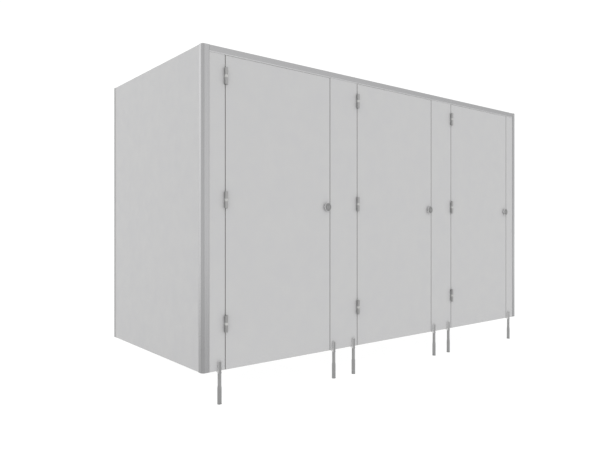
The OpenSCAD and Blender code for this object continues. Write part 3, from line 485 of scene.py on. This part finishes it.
# the CAD nodes that aren't of brushed steel; the pieces made below stand for some of them
finishes = {
    front_laminate: ["pilaster_left", "pilaster_1", "pilaster_2", "pilaster_right", *numbered("door")],
    side_laminate: ["end_panel_left", "end_panel_right", "partition_1", "partition_2"],
    channel_aluminium: ["wall_channels", "partition_channels", "door_stops"],
    upright_aluminium: ["corner_post_left", "corner_post_right"],
    rail_aluminium: ["head_rail"],
    strip_pvc: ["head_strips"],
    cap_nylon: ["corner_caps"],
    fork_steel: ["pedestal_forks"],
    leg_steel: ["pedestal_bolts", "pedestal_rods", *numbered("foot", FEET)],
    turned_steel: ["hinge_pins", *numbered("knob"), *numbered("coat_hook")],
    screw_steel: ["frame_screws", *numbered("door_screws")],
    bush_nylon: ["hinge_bushes"],
    seal_rubber: ["stop_seals"],
    disc_acetal: numbered("indicator"),
}
finish_of = {name: material for material, names in finishes.items() for name in names}
for name, cad_object in nodes.items():
    cad_object.data.materials.clear()
    cad_object.data.materials.append(finish_of.get(name, brushed_steel))


# ---------------------------------------------------------------- turned and moulded pieces

def pull_knob(n):
    """Pull knob: a base ring, a waisted neck and a round-edged head with a shallow dish and a pocket."""
    low, high = corners(f"knob_{n}")
    out, head = high[1] - low[1], (high[0] - low[0]) / 2
    ring, neck = head - 7, head - 9.5
    bore, pocket, floor_of_pocket = 4.1, 12.35, out - 3.4
    profile = filleted(
        [
            (bore, 1, 0), (bore, 0, 0.2), (ring, 0, 0.2), (ring, 2, 0.6),
            (neck, 2.8, 0.8), (neck, out - 11.3, 1.0),
            (head - 5, out - 9.8, 3.0), (head, out - 8.8, 3.0), (head, out, 1.6),
            (head - 5.5, out, 2.2), (pocket + 0.6, out - 0.5, 4.0), (pocket, out - 0.9, 0.2),
            (pocket, floor_of_pocket, 0.3), (bore, floor_of_pocket, 0.2), (bore, 1.5, 0),
        ],
        steps=5,
    )
    middle = (low + high) / 2
    knob = turned(profile, (middle[0], high[1], middle[2]), -Y, columns=72, closed=True)
    piece(f"pull_knob_{n}", [knob], knob_steel, f"door_{n}", f"knob_{n}")


def hinge_middles():
    """Where the nine hinge axes are, as (x, y, z) of the middle of each bush."""
    xs, ys, zs = (ranges("hinge_bushes", axis).mean(axis=1) for axis in range(3))
    return [np.array([x, ys[0], z]) for x in xs for z in zs]


def pins_and_bushes():
    """Hinge pins with a domed button at each end, and bushes whose two cam halves meet in a ramped line."""
    pin_xs, pin_heights = ranges("hinge_pins", 0), ranges("hinge_pins", 2)
    button_r = (pin_xs[0][1] - pin_xs[0][0]) / 2
    half = (pin_heights[0][1] - pin_heights[0][0]) / 2
    pin_r, button_t = 4.0, 1.5
    shank = half - button_t
    quarter = np.linspace(0, 1, 7)[1:, None] * math.pi / 2
    dome = np.hstack([button_r * np.sin(quarter), shank + button_t * np.cos(quarter)])
    pin_profile = np.concatenate([dome, [[pin_r, shank], [pin_r, -shank]], (dome * [1, -1])[::-1]])

    bush_low, bush_high = corners("hinge_bushes")
    radius = (bush_high[1] - bush_low[1]) / 2
    bush_heights = ranges("hinge_bushes", 2)[0]
    bush_half = (bush_heights[1] - bush_heights[0]) / 2
    bore = pin_r + 0.1
    bush_profile = filleted([
        (bore, 0, 0), (bore, -bush_half, 0.3), (radius, -bush_half, 0.9),
        (radius, bush_half, 0.9), (bore, bush_half, 0.3), (bore, 1, 0),
    ])
    # the outside gets more points, for the line to be drawn in
    side_points = 25
    side = np.linspace(-bush_half + 1, bush_half - 1, side_points)
    first, last = np.flatnonzero(np.isclose(bush_profile[:, 0], radius))[[0, -1]]
    outside = np.stack([np.full(side_points, radius), side], axis=1)
    bush_profile = np.concatenate([bush_profile[: first + 1], outside, bush_profile[last:]])

    def cam_line(r, h, angle):
        """The radius dips by 0.5 mm along the line where the halves meet: a ramp of 4 mm up and down a
        turn, 4 * |angle / pi mod 2 - 1| - 2."""
        rise, deep, half_width = 4, 0.5, 0.45
        ramp = rise * np.abs((angle / math.pi) % 2 - 1) - rise / 2
        dip = deep * np.exp(-(((h - ramp) / half_width) ** 2))
        return np.where(r > radius - TOUCH, r - dip, r), h

    pins, bushes = [], []
    pin_middles = pin_heights.mean(axis=1)
    for x, y, z in hinge_middles():
        pin_z = pin_middles[np.argmin(np.abs(pin_middles - z))]
        pins.append(turned(pin_profile, (x, y, pin_z), Z, columns=32))
        bushes.append(turned(bush_profile, (x, y, z), Z, columns=48, closed=True, shape=cam_line))
    piece("hinge_pins_buttoned", pins, turned_steel, "row_frame", "hinge_pins")
    piece("hinge_bushes_ramped", bushes, bush_nylon, "row_frame", "hinge_bushes")


def thread(pitch, depth):
    """A screw thread: the radius falls by a rounded V once every pitch, shifted by the turn."""

    def cut(r, h, angle):
        """The radius less depth * (1 - cos(2 pi * phase)) / 2 on the outside."""
        phase = (h / pitch - angle / FULL_TURN) % 1
        on_thread = r > r.max() - TOUCH
        return np.where(on_thread, r - depth * (0.5 - 0.5 * np.cos(FULL_TURN * phase)), r), h

    return cut


def rods_and_nuts(radius, sleeve):
    """Pedestal rods with a fine rolled thread and a spigot that holds in the fork, and round lock nuts with
    spanner notches."""
    low, high = corners("pedestal_rods")
    y = (high[1] + low[1]) / 2
    core, tip_r, spigot_r = 1.0, radius - 1.4, radius / 2
    thread_from, shoulder, levels = low[2] + 1.5, high[2] - 6, 260
    threaded = np.stack([np.full(levels, radius), np.linspace(thread_from, shoulder, levels)], axis=1)
    tip = [[core, low[2]], [tip_r, low[2]]]
    spigot = [[radius - 1, shoulder], [spigot_r, shoulder], [spigot_r, high[2]], [core, high[2]]]
    rod = np.concatenate([tip, threaded, spigot])

    nut_low, nut_high = corners("pedestal_locknuts")
    nut_h = nut_high[2] - nut_low[2]
    nut_bore = radius + 0.05
    notch_h, notch_deep, notch_half, notch_flank = 3, 0.7, 1.7, 0.4
    heights = np.array([0, 0.15, 0.4, notch_h - 0.1, notch_h + 0.1, nut_h - 0.4, nut_h - 0.15, nut_h])
    rounding = np.array([0.4, 0.12, 0, 0, 0, 0, 0.12, 0.4])
    outside = np.stack([sleeve - rounding, heights], axis=1)
    nut = np.concatenate([[[nut_bore, 0.1]], outside, [[nut_bore, nut_h - 0.1]]])

    def spanner_notches(r, h, angle):
        """The radius falls by 0.7 mm over four arcs of 3 mm, in the lower 3 mm of the nut."""
        quarter = math.pi / 2
        off = np.abs((angle + quarter / 2) % quarter - quarter / 2) * sleeve
        notch = np.clip((notch_half - off) / notch_flank, 0, 1) * (h < notch_h)
        return np.where(r > radius + 0.5, r - notch_deep * notch, r), h

    rods, nuts = [], []
    for x in ranges("pedestal_rods", 0).mean(axis=1):
        rods.append(turned(rod, (x, y, 0), Z, columns=24, shape=thread(pitch=1.5, depth=0.3)))
        nuts.append(turned(nut, (x, y, nut_low[2]), Z, columns=96, closed=True, shape=spanner_notches))
    piece("pedestal_rods_threaded", rods, leg_steel, "row_frame", "pedestal_rods")
    piece("pedestal_locknuts_notched", nuts, fork_steel, "row_frame", "pedestal_locknuts")


def foot(n, radius, sleeve):
    """Foot: a turned sleeve with a flange, a groove above it and a tapered mouth, on a rubber glide."""
    low, high = corners(f"foot_{n}")
    base, top = (high[0] - low[0]) / 2, high[2]
    core, glide, groove_r, floor_of_bore = 1, 2.5, sleeve - 0.5, 12
    bore = radius + 0.1
    mouth = bore + 0.63
    profile = filleted(
        [
            (core, glide, 0), (base - 0.6, glide, 0), (base, glide + 0.6, 0.3), (base, 5, 0.4),
            (sleeve, 5.8, 0.3), (sleeve, 7, 0.2), (groove_r, 7, 0.2), (groove_r, 8, 0.2), (sleeve, 8, 0.2),
            (sleeve, top - 10, 3.0), (mouth, top - 1, 0.5), (mouth, top, 0.3),
            (bore, top, 0.1), (bore, floor_of_bore, 0), (core, floor_of_bore, 0),
        ],
        steps=4,
    )
    pad = filleted([(core, 0, 0), (base - 0.8, 0, 0.7), (base - 0.2, glide, 0.2), (core, glide, 0)], steps=4)
    at = ((low + high) / 2) * [1, 1, 0]
    piece(f"foot_sleeve_{n}", [turned(profile, at, Z)], leg_steel, f"foot_{n}", f"foot_{n}")
    piece(f"foot_glide_{n}", [turned(pad, at, Z)], pad_rubber, f"foot_{n}", f"foot_{n}")


def pedestals():
    """All pedestals. Rods, lock nuts and feet share the rods' radius and the radius of the sleeves."""
    rod_low, rod_high = corners("pedestal_rods")
    nut_low, nut_high = corners("pedestal_locknuts")
    radius, sleeve = (rod_high[1] - rod_low[1]) / 2, (nut_high[1] - nut_low[1]) / 2
    rods_and_nuts(radius, sleeve)
    for n in FEET:
        foot(n, radius, sleeve)


def seals():
    """Door seals: a crowned bulb on a flat back, drawn along each stop with its ends closed. Over half a turn
    the bulb's width goes with the cosine, and its height with the sine to the power 0.7."""
    low, high = corners("stop_seals")
    levels = places("stop_seals", 2).reshape(-1, 2)
    back = 0.6
    t = np.linspace(0, math.pi, 17)
    for n, (x0, x1) in zip(CUBICLES, ranges("stop_seals", 0)):
        half, thick = (x1 - x0) / 2, high[1] - low[1]
        bulb = np.stack([half * np.cos(t), -(thick - back) * np.sin(t) ** 0.7], axis=1)
        section = np.concatenate([bulb, [[-half, back], [half, back]]])
        for where, (z0, z1) in zip(("lower", "upper"), levels):
            heights = np.concatenate([[z0, z0 + 0.5], np.linspace(z0 + 1, z1 - 1, 12), [z1 - 0.5, z1]])
            middle = np.array([[(x0 + x1) / 2, high[1] - back, 0]])
            path = middle + heights[:, None] * Z
            scales = np.ones((len(heights), 2))
            scales[[0, -1]] = 0.94
            seal = swept(path, scales, Y, section=section)
            piece(f"door_seal_{where}_{n}", [seal], seal_rubber, "row_frame", "stop_seals")


def coat_hook(n):
    """Coat hook: a domed rose, a stem that swells towards its end, a prong that curves up to a ball, and a
    rubber buffer on the end."""
    low, high = corners(f"coat_hook_{n}")
    rose, out = (high[0] - low[0]) / 2, high[1] - low[1]
    at = np.array([(low[0] + high[0]) / 2, low[1], low[2] + rose])
    prong_y, prong_h = out * 0.45, 24
    stem = filleted([
        (CORE, 0, 0), (rose, 0, 0.3), (rose, 4.6, 1.5), (9, 4.7, 3.0), (5.5, 9, 6.0),
        (4.6, prong_y, 20.0), (5.2, out - 14, 6.0), (8.5, out - 11, 1.0), (8.5, out - 8, 0.3),
        (CORE, out - 8, 0),
    ])
    # the prong leaves the stem forwards, and ends straight up in the ball
    points = 20
    tip = at + [0, prong_y, prong_h]
    path = bezier(at + [0, out * 0.3, 0], at + [0, out * 0.38, 0], at + [0, prong_y, 10], tip, points)
    prong_r = 3.9 - 0.8 * np.sin(math.pi * np.linspace(0, 1, points))
    prong = swept(path, np.stack([prong_r, prong_r], axis=1), X)
    ball_r, pole = 5, 0.05
    from_pole = np.linspace(pole, math.pi - pole, 14)
    ball_profile = np.stack([ball_r * np.sin(from_pole), -ball_r * np.cos(from_pole)], axis=1)
    ball = turned(ball_profile, tip, Z, columns=32)
    hook = [turned(stem, at, Y, columns=56), prong, ball]
    piece(f"coat_hook_forged_{n}", hook, turned_steel, f"door_{n}", f"coat_hook_{n}")
    buffer = filleted([
        (CORE, out - 8.2, 0), (9, out - 8.2, 0.5), (11, out - 6, 1.5), (11, out - 2.5, 1.5), (8.5, out, 2.5),
        (CORE, out, 0),
    ])
    piece(f"hook_buffer_{n}", [turned(buffer, at, Y)], pad_rubber, f"door_{n}", f"coat_hook_{n}")


def thumb_turn(n):
    """Thumb turn: a round boss and a waisted grip whose outline is a superellipse at every height, with the
    spindle and the crank that it carries."""
    low, high = corners(f"thumb_turn_{n}")
    knob_low, knob_high = corners(f"knob_{n}")
    x, z = (knob_low[0] + knob_high[0]) / 2, (knob_low[2] + knob_high[2]) / 2
    grip_out, grip_in_boss = 17.0, 1.5
    boss_y = high[1] - grip_out - grip_in_boss
    boss_profile = filleted([(CORE, 0, 0), (11, 0, 0.2), (11, 3, 1.2), (CORE, 3.6, 0)], steps=5)
    boss = turned(boss_profile, (x, boss_y, z), Y)

    # half the grip's thickness and length at each level: a waist of 78 percent halfway, a length that grows
    # from 93 percent, and over the last fifth a crown that draws both in
    levels = np.linspace(0, 1, 22)
    half_thick, half_long = 4.5, 18
    crown = np.clip((levels - 0.8) / 0.2, 0, 1)
    shrink = np.sqrt(np.clip(1 - crown**2, 0.0009, 1))
    thick = half_thick * (0.78 + 0.22 * np.cos(math.pi * levels) ** 2) * shrink
    long = half_long * (0.93 + 0.07 * levels) * (1 - 0.06 * crown**2 - (1 - shrink) * 0.1)
    long = np.minimum(long, half_long)
    outline = superellipse(3.2)
    grip = shell(np.stack([
        x + outline[None, :, 0] * thick[:, None],
        boss_y + grip_in_boss + (levels * grip_out)[:, None] + 0 * outline[None, :, 0],
        z + outline[None, :, 1] * long[:, None],
    ], axis=-1))

    spindle_r, spindle_l = 4, boss_y - low[1] + 1
    spindle = turned(peg(spindle_r, 0, spindle_l, 0.6, 0.2), (x, low[1], z), Y, columns=32)
    # the crank lies 0.4 mm from the door's inner face, with its pin up and to the left at rest: its 8.5 mm
    # stand at 45 degrees
    panel_t, gap, crank_t, across = 13, 0.4, 3.6, 6.01
    crank_at = np.array([x, knob_high[1] + panel_t + gap, z])
    pin_at = crank_at + [-across, 0, across]
    hub = turned(peg(7, 0, crank_t), crank_at, Y, columns=32)
    eye = turned(peg(3.5, 0, crank_t), pin_at, Y, columns=24)
    pin = turned(peg(2, 1, 10, 0.1, 0.4), pin_at, Y, columns=20)
    points = 6
    arm_path = np.linspace(crank_at, pin_at, points) + [0, crank_t / 2, 0]
    arm = swept(arm_path, np.tile([2.0, 1.25], (points, 1)), Y, section=superellipse(5, columns=24))
    shells = [boss, grip, spindle, hub, eye, pin, arm]
    piece(f"thumb_turn_waisted_{n}", shells, turned_steel, f"turn_{n}", f"thumb_turn_{n}")


for n in CUBICLES:
    pull_knob(n)
    coat_hook(n)
    thumb_turn(n)
pins_and_bushes()
pedestals()
seals()


# ---------------------------------------------------------------- studio

scene = bpy.context.scene
scene.view_settings.view_transform = "Standard"

# solved from the photograph's straight edges: level, and looking 38.58 degrees to the right
camera = bpy.data.objects.new("camera", bpy.data.cameras.new("camera"))
scene.collection.objects.link(camera)
camera.data.sensor_width = 36
camera.data.lens = 33.76
camera.data.shift_y = 0.001
camera.data.clip_end = 200
camera.location = (-3.1230, -3.4397, 1.0107)
camera.rotation_euler = (math.radians(90), 0, math.radians(-38.58))
scene.camera = camera


def seen_by(tree, ray, otherwise, value):
    """One value for that kind of ray, and another for all other rays."""
    return add(tree, "Mix", {"Factor": ray, "A": otherwise, "B": value}).outputs["Result"]


# a white room, a little brighter overhead; metal mirrors the lit backdrop behind the row, and the darker
# side of the room in front of it, with one large soft light there
scene.world = bpy.data.worlds.new("studio")
scene.world.use_nodes = True
sky = scene.world.node_tree
sky.nodes.clear()
ray = add(sky, "LightPath").outputs
towards = add(sky, "TexCoord").outputs["Generated"]
along = add(sky, "SeparateXYZ", {"Vector": towards}).outputs
even = mapped(sky, along["Z"], over=(0.0, 0.8), to=(1.0, 1.25))
light_direction = (0.2, -0.98, 0.0)
near_light = add(sky, "VectorMath", {0: towards, 1: light_direction}, operation="DOT_PRODUCT").outputs["Value"]
in_front = mapped(sky, near_light, over=(0.6, 0.95), to=(0.79, 1.02))
backdrop = mapped(sky, along["Z"], over=(-0.05, 0.25), to=(1.14, 1.34))
is_behind = mapped(sky, along["Y"], over=(-0.35, 0.6), to=(0.0, 1.0))
room = add(sky, "Mix", {"Factor": is_behind, "A": in_front, "B": backdrop}).outputs["Result"]
seen_white = 1.05
strength = seen_by(sky, ray["Is Camera Ray"], seen_by(sky, ray["Is Glossy Ray"], even, room), seen_white)
background = add(sky, "Background", {"Color": (1, 1, 1, 1), "Strength": strength})
sky.links.new(background.outputs["Background"], add(sky, "OutputWorld").inputs["Surface"])

# a plain white floor that lights itself nearly enough to lose its shadows, as in the photograph; metal
# mirrors it darker near the row, where its glow for reflections is dimmed in a painted shadow, and as
# bright as the room far away
floor_white, floor_tree, floor_shader = new_material("studio floor, white", {
    "Base Color": (0.12, 0.12, 0.12, 1), "Roughness": 1.0, "Specular IOR Level": 0.0,
    "Emission Color": (1, 1, 1, 1),
})
floor_ray = add(floor_tree, "LightPath").outputs
spot = add(floor_tree, "TexCoord").outputs["Object"]
away = add(floor_tree, "VectorMath", {0: spot}, operation="LENGTH").outputs["Value"]
spot_at = add(floor_tree, "SeparateXYZ", {"Vector": spot}).outputs
# painted shadow: for reflections the floor's glow is dimmed near the row
painted_shadow_near_row = mapped(floor_tree, away, over=(1.5, 10.0), to=(0.5, 0.82))
behind_row = mapped(floor_tree, spot_at["Y"], over=(-1.2, 2.5), to=(0.0, 0.32))
beside_row = mapped(floor_tree, spot_at["X"], over=(-2.6, -1.2), to=(-0.1, 0.05))
mirrored = maths(floor_tree, "ADD", maths(floor_tree, "ADD", painted_shadow_near_row, behind_row), beside_row)
direct = mapped(floor_tree, floor_ray["Is Camera Ray"], over=(0.0, 1.0), to=(1.1, 0.93))
glow = seen_by(floor_tree, floor_ray["Is Glossy Ray"], direct, mirrored)
floor_tree.links.new(glow, floor_shader.inputs["Emission Strength"])
reach = 60.0
floor_mesh = bpy.data.meshes.new("studio_floor")
floor_corners = [(-reach, -reach, 0), (reach, -reach, 0), (reach, reach, 0), (-reach, reach, 0)]
floor_mesh.from_pydata(floor_corners, [], [(0, 1, 2, 3)])
floor_mesh.materials.append(floor_white)
floor = bpy.data.objects.new("studio_floor", floor_mesh)
scene.collection.objects.link(floor)
